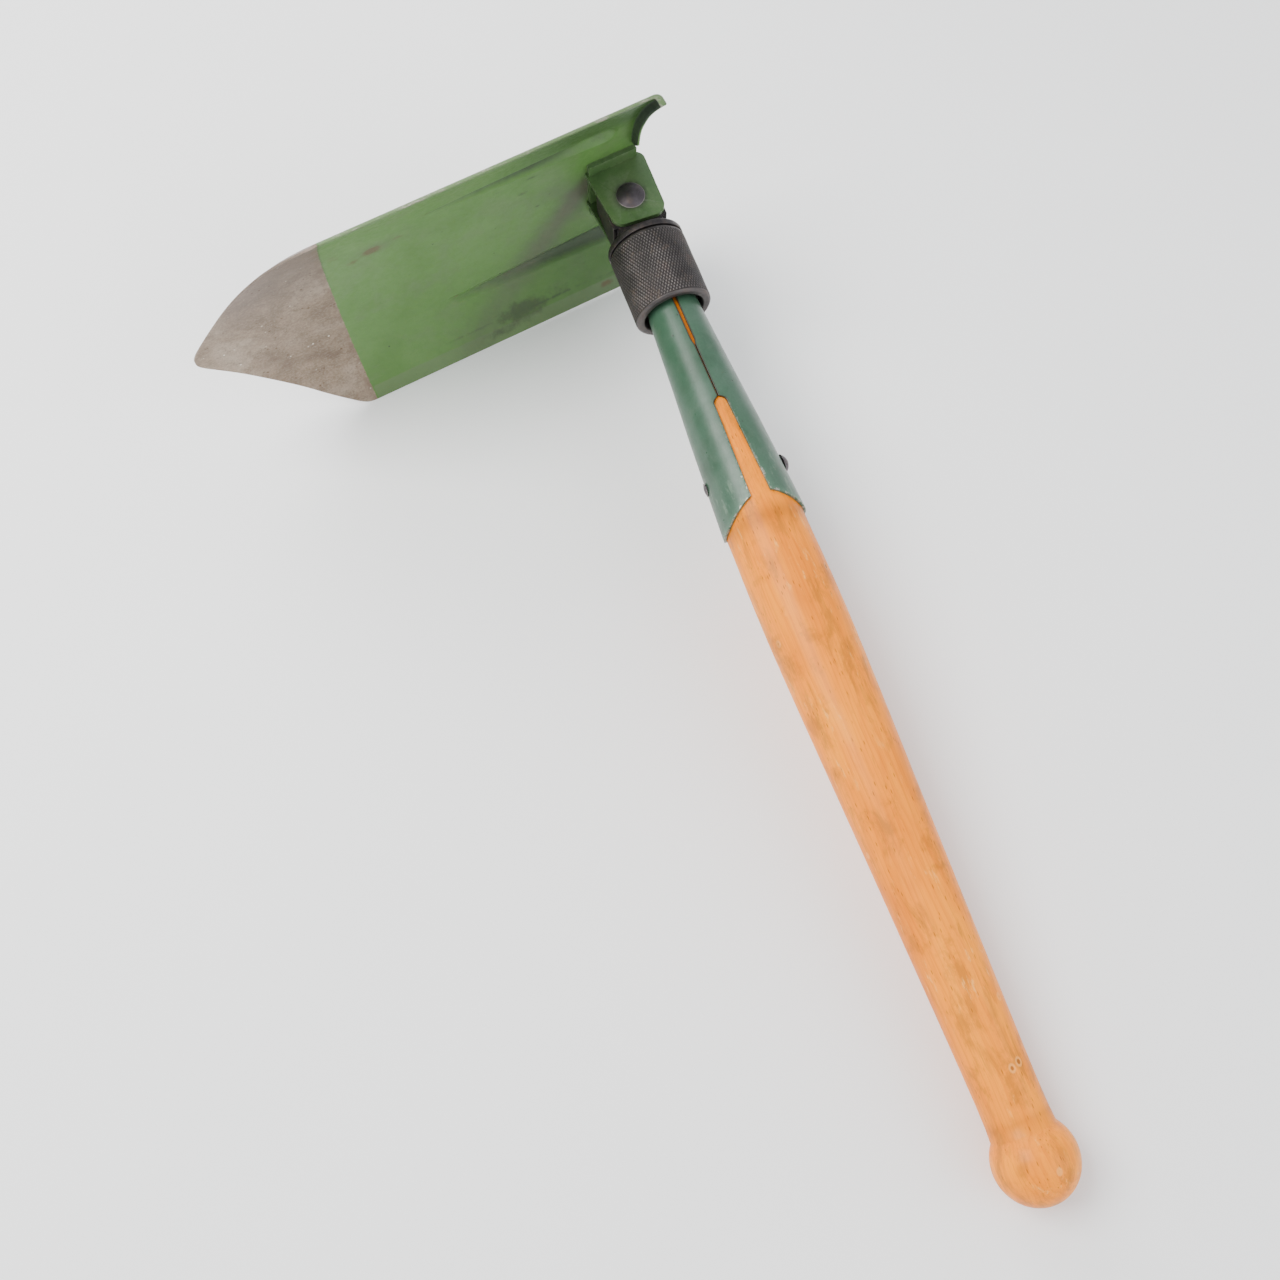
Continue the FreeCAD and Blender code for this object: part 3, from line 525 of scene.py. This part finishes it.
loops = []
for y in ys:
    ay = abs(y)
    af, ar = interp(FRONT, ay), interp(REAR, ay)
    end = 75.0 - ay
    th = TH if end > 0.9 else 0.7 + (TH - 0.7) * math.sqrt(max(0.0, 1 - (1 - end / 0.9) ** 2))
    h = lip_height(y)
    phi = math.pi / 2 * min(1.0, h / 2.6) ** 0.8
    rise = BR * (1 - math.cos(phi))
    straight = max(0.0, h - rise) / max(0.3, math.sin(phi)) if phi > 0.05 else 0.0
    ext = BR * math.sin(phi) + straight * math.cos(phi) + TH / 2 * math.sin(phi)
    a0 = ar + ext
    span = af - a0
    F, B = [], []
    for i in range(nA):
        a = af - span * i / (nA - 1)
        ft = min(1.0, 0.35 + (af - a) / 5.0 * 0.65)
        z = surface(a, y)
        inset = (TH - th) * 0.5
        F.append((a, z - inset, 0.0))
        B.append((a, z - TH + inset + th * (1 - ft) * 0.8, 0.0))
    zm = surface(a0, y) - TH / 2
    for i in range(1, nB + 1):
        p = phi * i / nB
        ma, mz = a0 - BR * math.sin(p), zm + BR * (1 - math.cos(p))
        F.append((ma + th / 2 * math.sin(p), mz + th / 2 * math.cos(p), i / nB * min(1.0, h / 4.0)))
        B.append((ma - th / 2 * math.sin(p), mz - th / 2 * math.cos(p), 0.0))
    ma, mz = a0 - BR * math.sin(phi), zm + BR * (1 - math.cos(phi))
    for i in range(1, nS + 1):
        q = straight * i / nS
        na, nz_ = ma - q * math.cos(phi), mz + q * math.sin(phi)
        sh = 1.0 if i < nS else 0.72
        F.append((na + sh * th / 2 * math.sin(phi), nz_ + sh * th / 2 * math.cos(phi), min(1.0, h / 4.0)))
        B.append((na - sh * th / 2 * math.sin(phi), nz_ - sh * th / 2 * math.cos(phi), 0.0))
    ca, cz = na - 0.28 * math.cos(phi), nz_ + 0.28 * math.sin(phi)
    C = [(ca + 0.22 * th * math.sin(phi), cz + 0.22 * th * math.cos(phi), 0.0), (ca - 0.22 * th * math.sin(phi), cz - 0.22 * th * math.cos(phi), 0.0)]
    loop = F + C + B[::-1]
    ids = []
    for a, z, lf in loop:
        ids.append(len(vs))
        vs.append(leaned(a, y, z))
        e = min(75.0 - ay, 99.0) if a < 154.0 else 99.0
        edge.append(min(e, 6.0))
        tip.append(max(-8.0, min(8.0, a - 153.6)))
        band.append(max(0.0, min(1.0, (ay - 66.0) / 3.0)) if a < 153.0 else 0.0)
        # thin line of painted crease shade along |y| about 65.6
        la = max(0.0, min(1.0, (118.0 - a) / 30.0))
        crease_shade.append(la * max(0.0, 1 - abs(ay - 65.6 + 0.02 * a) / 0.55))
        # curl_shade: painted shade weight beside the hinge, toward the far edge and on the near half of the ground
        # point
        if a > 153.0:
            curl_shade.append(max(0.0, min(1.0, (-y - 5.0) / 40.0)))
        elif y < 0:
            curl_shade.append(max(0.0, min(1.0, (70.0 - a) / 45.0)) * max(0.0, min(1.0, (ay - 38.0) / 12.0)) * (1.0 - 0.6 * max(0.0, min(1.0, (ay - 69.0) / 4.0))))
        else:
            curl_shade.append(0.62 * max(0.0, min(1.0, (66.0 - a) / 42.0)) * max(0.0, min(1.0, (ay - 24.0) / 16.0)))
        # groove weight for the held dirt and the painted shade
        groove_dirt_and_shade.append(min(1.0, groove(a, y) / 3.0) * (1.0 if y > 0 else max(0.15, min(1.0, (a - 8.0) / 34.0))))
        grey.append(max(blobs(GREY, a, y), worn_band(a, y)))
        dark.append(blobs(DARK, a, y))
        brown.append(blobs(BROWN, a, y))
        # lip_shade: weight of the painted shade on the lip's front face
        lip_shade.append(lf)
    loops.append(ids)
L = len(loops[0])
for j in range(len(loops) - 1):
    for i in range(L):
        n = (i + 1) % L
        fs.append((loops[j][i], loops[j][n], loops[j + 1][n], loops[j + 1][i]))
for ids in (loops[0], loops[-1]):
    # strip the ends: pair the front points with the back ones
    m_ = len(ids)
    for i in range(m_ // 2 - 1):
        fs.append((ids[i], ids[i + 1], ids[m_ - 2 - i], ids[m_ - 1 - i]))
blade = make("blade_sheet", vs, fs, M_BLADE, "blade_body", "blade", {"edge": edge, "tip": tip, "lip": lip_shade, "band": band, "curl_shade": curl_shade, "crease_shade": crease_shade, "groove_dirt_and_shade": groove_dirt_and_shade, "grey": grey, "dark": dark, "brown": brown}, sharp=50)


# ---- copies of plain machined pieces, with softened edges ----
def softened(node, name, mat, body, width, angle=30, seg=3):
    src = frame["nodes"][node]
    bm = bmesh.new()
    bm.from_mesh(src.data)
    bmesh.ops.remove_doubles(bm, verts=bm.verts, dist=0.000002)
    bmesh.ops.dissolve_limit(bm, angle_limit=math.radians(1.0), verts=bm.verts, edges=bm.edges)
    sharp = [e for e in bm.edges if len(e.link_faces) == 2 and e.calc_face_angle(0) > math.radians(angle)]
    bmesh.ops.bevel(bm, geom=sharp, offset=width, offset_type="OFFSET", segments=seg, profile=0.5, affect="EDGES", clamp_overlap=True)
    me = bpy.data.meshes.new(name)
    bm.to_mesh(me)
    bm.free()
    me.polygons.foreach_set("use_smooth", [True] * len(me.polygons))
    at = me.attributes.new("oc", "FLOAT_VECTOR", "POINT")
    at.data.foreach_set("vector", [c for v in me.vertices for c in D(v.co)])
    me.set_sharp_from_angle(angle=math.radians(40))
    me.materials.append(mat)
    ob = bpy.data.objects.new(name, me)
    bpy.context.scene.collection.objects.link(ob)
    wn = ob.modifiers.new("weighted", "WEIGHTED_NORMAL")
    wn.keep_sharp = True
    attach(ob, body)
    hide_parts(node)
    return ob


softened("hinge_bracket", "bracket_plate", M_BRACKET, "blade_body", 0.00055, angle=35)
softened("hinge_tongue", "tongue_block", M_BLACK, "handle_body", 0.0005, angle=35)
softened("pressure_ring", "ring_plain", M_BLACK, "ring_body", 0.0003, angle=40)


def cap_profile(r, h, n=14, lip=0.25):
    R = (r * r + h * h) / (2 * h)
    pts = [(0.0, r * 0.55), (0.0, r - lip), (lip * 0.4, r)]
    for i in range(n + 1):
        t = math.asin(min(1.0, (r - 0.02) / R)) * (1 - i / n)
        z = R * math.cos(t) - (R - h)
        rr = R * math.sin(t)
        if z > lip * 0.4 + 0.02 or i == n:
            pts.append((z, rr))
    pts[-1] = (h, 0.0)
    return pts


def two_headed(name, node, body, axis, c_pos, r, h, c_neg, r2, h2, shank, mat):
    ax = Vector(axis)
    pr = [(c_pos + z, q) for z, q in cap_profile(r, h)][1:]
    ng = [(-c_neg - z, q) for z, q in cap_profile(r2, h2)][1:]
    prof = ng[::-1] + [(-c_neg + 0.001, shank), (c_pos - 0.001, shank)] + pr
    v, f = lathe(prof, (0, 0, 0), ax)
    return v, f


v, f = two_headed("", "", "", (0, 1, 0), 13.1, 7.3, 2.5, 13.1, 7.3, 2.5, 4.98, None)
pin = make("pivot_rivet_heads", v, f, M_HEAD, "blade_body", "pivot_rivet", sharp=45)
v, f = two_headed("", "", "", (1, 0, 0), 19.75, 3.4, 0.78, 19.75, 4.9, 2.85, 2.58, None)
v = [(p[0], p[1], p[2] + 156.0) for p in v]
sr = make("strap_rivet_heads", v, f, M_HEAD, "handle_body", "strap_rivet", sharp=45)

# ---- bracket rivets ----
vs, fs = [], []
for a in (-7.5, 7.5):
    for y in (-5.2, 5.2):
        top = section(y) + 2.5 - 0.15
        bot = -DEPTH - TH
        capR = 6.2
        r0 = math.sqrt(capR**2 - 4.2**2)
        prof = [(top, 0.0), (top, 2.3), (top - 0.2, 2.48), (bot + 0.001, 2.48), (bot, r0 * 0.8), (bot, r0 - 0.1)]
        for i in range(10):
            t = math.asin(r0 / capR) * (1 - i / 9)
            prof.append((bot + 4.2 - capR * math.cos(t) - (0.0 if i else 0.01), capR * math.sin(t)))
        prof[-1] = (bot + 4.2 - capR, 0.0)
        v, f = lathe(prof, (a, y, 0), (0, 0, 1), seg=48)
        o = len(vs)
        vs += [leaned(*p) for p in v]
        fs += [tuple(i + o for i in q) for q in f]
br = make("bracket_rivet_set", vs, fs, M_BRACKET, "blade_body", "bracket_rivets", sharp=45)

# ---- locking collar with a cut diamond knurl ----
KZ0, KZ1 = 25.3, 61.2
NK = 76
SEG = NK * 12
prof = [(23.4, 15.6), (23.4, 18.4), (23.55, 18.75), (24.3, 19.45), (24.9, 19.62)]
rows = [(z, r, 0) for z, r in prof]
nz = 240
for i in range(nz + 1):
    rows.append((KZ0 + (KZ1 - KZ0) * i / nz, 19.96, 1))
rows += [(61.35, 19.70, 0), (61.6, 19.55, 0), (62.2, 19.0, 0), (62.55, 18.4, 0), (62.6, 18.0, 0), (62.6, 16.3, 0), (62.45, 15.95, 0), (62.1, 15.6, 0), (61.0, 15.32, 0), (42.0, 15.32, 0), (24.2, 15.32, 0), (23.6, 15.4, 0)]
vs, crest = [], []
slope = NK / (2 * math.pi * 19.96) * math.tan(math.radians(30))
rnd = random.Random(3)
for z, r, kn in rows:
    for i in range(SEG):
        t = 2 * math.pi * i / SEG
        rr, c = r, 0.0
        if kn:
            p, q = NK * t / (2 * math.pi), z * slope
            w1, w2 = abs(((p + q) % 1.0) * 2 - 1), abs(((p - q) % 1.0) * 2 - 1)
            c = min(w1, w2) ** 0.85
            fade = min(1.0, (z - KZ0) / 0.5, (KZ1 - z) / 0.5)
            fade = max(0.0, fade)
            wear = 0.82 + 0.18 * math.sin(3.1 * t + 0.21 * z) * math.cos(1.7 * t - 0.13 * z)
            rr = r - 0.46 * (1 - c * wear) * fade - 0.30 * (1 - fade)
            c = max(0.02, c * wear) * fade
        vs.append((rr * math.cos(t), rr * math.sin(t), z))
        crest.append(c)
fs = []
nr = len(rows)
for k in range(nr):
    a, b = k * SEG, ((k + 1) % nr) * SEG
    for i in range(SEG):
        j = (i + 1) % SEG
        fs.append((a + i, a + j, b + j, b + i))
collar = make("collar_knurled", vs, fs, M_KNURL, "collar_body", "locking_collar", {"crest": crest}, sharp=65)

# ---- socket: rolled sheet, open seam, two straps ----
SP = [(36.0, 12.4), (56.0, 12.4), (62.0, 13.4), (100.0, 15.75), (131.0, 18.0), (183.0, 21.0)]


def lin(pts, x):
    if x <= pts[0][0]:
        return pts[0][1]
    for (x0, y0), (x1, y1) in zip(pts, pts[1:]):
        if x <= x1:
            return y0 + (y1 - y0) * (x - x0) / (x1 - x0)
    return pts[-1][1]


def gap_near(z):
    if z < 86.0:
        return 0.85
    if z < 89.0:
        return 0.85 - 0.65 * (z - 86.0) / 3.0
    if z < 119.0:
        return 0.2
    if z < 122.0:
        return 0.2 + 3.05 * math.sin((z - 119.0) / 3.0 * math.pi / 2)
    return 3.25 + 2.1 * (z - 122.0) / 61.0


def gap_far(z):
    if z < 119.0:
        return 0.0
    if z < 122.0:
        return 3.2 * math.sin((z - 119.0) / 3.0 * math.pi / 2)
    return 3.25 + 2.1 * (z - 122.0) / 61.0


def strap_end(y):
    R = (21.0**2 + 12.0**2) / 24.0
    return 183.0 - R + math.sqrt(max(0.0, R * R - y * y)) - 0.1


zs = [36.0 + i * (118.5 - 36.0) / 82 for i in range(83)] + [119.0, 119.15, 119.4, 119.8, 120.3, 121.0, 122.0]
nTail = 60
nT = 56
bm = bmesh.new()
grid = {}
for side in (1, -1):
    cols = len(zs) + nTail
    for i in range(cols):
        for j in range(nT + 1):
            f_ = j / nT
            z = zs[i] if i < len(zs) else None
            if z is None:
                v_ = (i - len(zs) + 1) / nTail
                z = 122.0 + v_ * 50.0
                # the end follows the arc, placed from this row's angle, since the end depends on y
                r = lin(SP, z)
                g0, g1 = math.asin(gap_near(z) / r), math.asin(gap_far(z) / r)
                th = -math.pi / 2 + g0 + (math.pi - g0 - g1) * f_
                ze = strap_end(r * math.sin(th))
                z = 122.0 + v_ * (ze - 122.0)
            r = lin(SP, z)
            g0, g1 = math.asin(gap_near(z) / r), math.asin(gap_far(z) / r)
            th = -math.pi / 2 + g0 + (math.pi - g0 - g1) * f_
            # the sheet sits 0.06 inside the socket profile
            rr = r - 0.06
            grid[(side, i, j)] = bm.verts.new(P((side * rr * math.cos(th), rr * math.sin(th), z)))
    for i in range(cols - 1):
        for j in range(nT):
            q = [grid[(side, i, j)], grid[(side, i, j + 1)], grid[(side, i + 1, j + 1)], grid[(side, i + 1, j)]]
            if side > 0:
                q = q[::-1]
            bm.faces.new(q)
bmesh.ops.remove_doubles(bm, verts=bm.verts, dist=0.000005)
bmesh.ops.recalc_face_normals(bm, faces=bm.faces)
mid = P((0, 0, 100))
fc = min(bm.faces, key=lambda q: (q.calc_center_median() - P((15, 0, 100))).length)
if fc.normal.dot(AX) < 0:
    bmesh.ops.reverse_faces(bm, faces=bm.faces)
me = bpy.data.meshes.new("socket_sheet")
bm.to_mesh(me)
bm.free()
me.materials.append(M_SOCKET)
sock = bpy.data.objects.new("socket_sheet", me)
bpy.context.scene.collection.objects.link(sock)
so = sock.modifiers.new("t", "SOLIDIFY")
so.thickness, so.offset, so.use_even_offset = 0.00138, -1.0, True
bv = sock.modifiers.new("b", "BEVEL")
bv.width, bv.segments, bv.limit_method, bv.angle_limit = 0.0003, 3, "ANGLE", math.radians(50)
dg = bpy.context.evaluated_depsgraph_get()
me2 = bpy.data.meshes.new_from_object(sock.evaluated_get(dg))
sock.modifiers.clear()
sock.data = me2
me2.polygons.foreach_set("use_smooth", [True] * len(me2.polygons))
at = me2.attributes.new("oc", "FLOAT_VECTOR", "POINT")
at.data.foreach_set("vector", [c for v in me2.vertices for c in D(v.co)])
rimv = []
for v in me2.vertices:
    x, y, z = D(v.co)
    r = max(8.0, math.hypot(x, y))
    th = math.asin(max(-1.0, min(1.0, y / r)))
    g = gap_near(z) if y < 0 else gap_far(z)
    d = r * (math.pi / 2 - abs(th)) - g if (g > 0.05) else 30.0
    d2 = strap_end(max(-21.0, min(21.0, y))) - z
    rimv.append(max(0.0, min(d, d2, z - 36.0, 30.0)))
at = me2.attributes.new("rim", "FLOAT", "POINT")
at.data.foreach_set("value", rimv)
me2.set_sharp_from_angle(angle=math.radians(55))
if not me2.materials:
    me2.materials.append(M_SOCKET)
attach(sock, "handle_body")
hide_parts("socket")

# ---- handle ----
WP = [(183.0, 19.5), (192.0, 19.55), (205.0, 19.85), (222.0, 20.03), (240.0, 19.95), (268.0, 19.35), (305.0, 18.3), (340.0, 17.25), (375.0, 16.3), (408.0, 15.4), (440.0, 14.6), (457.0, 14.3), (466.5, 14.35)]
prof = [(38.0, 0.0), (38.0, 6.0), (38.0, 10.6), (38.3, 10.85)]
for i in range(1, 120):
    z = 38.3 + (183.0 - 38.3) * i / 119
    prof.append((z, lin(SP, z) - 1.53))
for i in range(1, 181):
    z = 183.0 + (467.0 - 183.0) * i / 180
    prof.append((z, interp(WP, z) - 0.02))
# concave run into the ball, kept inside the ball's own neck
KZ, KR = 484.35, 18.9
a0 = -math.acos(14.7 / KR)
for i in range(0, 61):
    t = a0 + (math.pi / 2 - a0) * i / 60
    prof.append((KZ + (KR - 0.02) * math.sin(t), (KR - 0.02) * math.cos(t)))
prof[-1] = (KZ + KR - 0.02, 0.0)
prof = [p for n, p in enumerate(prof) if n == 0 or p[0] > prof[n - 1][0] - 1e-9]
v, f = lathe(prof, (0, 0, 0), (0, 0, 1), seg=192)
# grime and painted shade along the handle: socket mouth, neck under the ball, wood inside the socket
grime_and_shade = []
for p in v:
    z = p[2]
    g = math.exp(-(((z - 184.0) / 5.0) ** 2)) * 0.7 + math.exp(-(((z - 469.0) / 3.5) ** 2)) * 0.6
    if z < 118:
        g += 0.35
    if z < 96:
        g += 0.55
    grime_and_shade.append(min(1.0, g))
hd = make("handle_turned", v, f, M_WOOD, "handle_body", "handle", {"grime_and_shade": grime_and_shade}, sharp=70)

# ---- stage ----
bpy.ops.mesh.primitive_plane_add(size=14.0, location=(0, 0, 0))
floor = bpy.context.object
floor.name = "floor"
fm = N("floor_pale")
g = fm.node("NewGeometry").outputs["Position"]
fm.put(fm.b.inputs["Base Color"], fm.ramp(fm.noise(g, 6.0, 4.0), [(0.3, (0.945, 0.945, 0.94)), (0.7, (0.965, 0.965, 0.96))]))
fm.b.inputs["Roughness"].default_value = 0.85
floor.data.materials.append(fm.m)

w = bpy.data.worlds.new("studio")
bpy.context.scene.world = w
w.use_nodes = True
bg = w.node_tree.nodes["Background"]
bg.inputs[0].default_value = (0.93, 0.96, 1.0, 1)
bg.inputs[1].default_value = 1.02


def area(name, loc, target, size, power, col=(1, 1, 1)):
    l = bpy.data.lights.new(name, "AREA")
    l.shape, l.size, l.energy, l.color = "SQUARE", size, power, col
    o = bpy.data.objects.new(name, l)
    o.location = loc
    o.rotation_mode = "QUATERNION"
    o.rotation_quaternion = (Vector(target) - Vector(loc)).to_track_quat("-Z", "Y")
    bpy.context.scene.collection.objects.link(o)
    return o



# ---- camera: perspective, steep from the ball side, rolled so that the blade points left ----
CAM = P((140.184, -614.601, 381.843))


def dvec(v):
    return AX * v[0] + AY * v[1] + AZ * v[2]


right = dvec((-0.933613, -0.02683, 0.357277)).normalized()
fwd = dvec((-0.126143, 0.957958, -0.25769)).normalized()
up = right.cross(fwd).normalized()
cam = bpy.data.cameras.new("camera")
cam.sensor_width = 36.0
cam.lens = 1387.29 / 1280.0 * 36.0
cam.shift_x = -(673.9 - 640.0) / 1280.0
cam.shift_y = (632.0 - 640.0) / 1280.0
cam.clip_start, cam.clip_end = 0.01, 50.0
co = bpy.data.objects.new("camera", cam)
co.matrix_world = Matrix(((right.x, up.x, -fwd.x, CAM.x), (right.y, up.y, -fwd.y, CAM.y), (right.z, up.z, -fwd.z, CAM.z), (0, 0, 0, 1)))
bpy.context.scene.collection.objects.link(co)
bpy.context.scene.camera = co

mid = (0.0, 0.05, 0.05)
upleft = (up * 0.55 - right * 0.85)
area("key", tuple(Vector(mid) + upleft * 0.9 - fwd * 1.15), mid, 0.9, 30.0, (1.0, 0.985, 0.96))
area("fill", tuple(Vector(mid) + right * 1.3 - fwd * 1.0 - up * 0.2), mid, 1.3, 12.0, (0.95, 0.98, 1.0))
area("back", (-0.2, 1.4, 0.8), mid, 1.0, 13.0, (1.0, 1.0, 1.0))
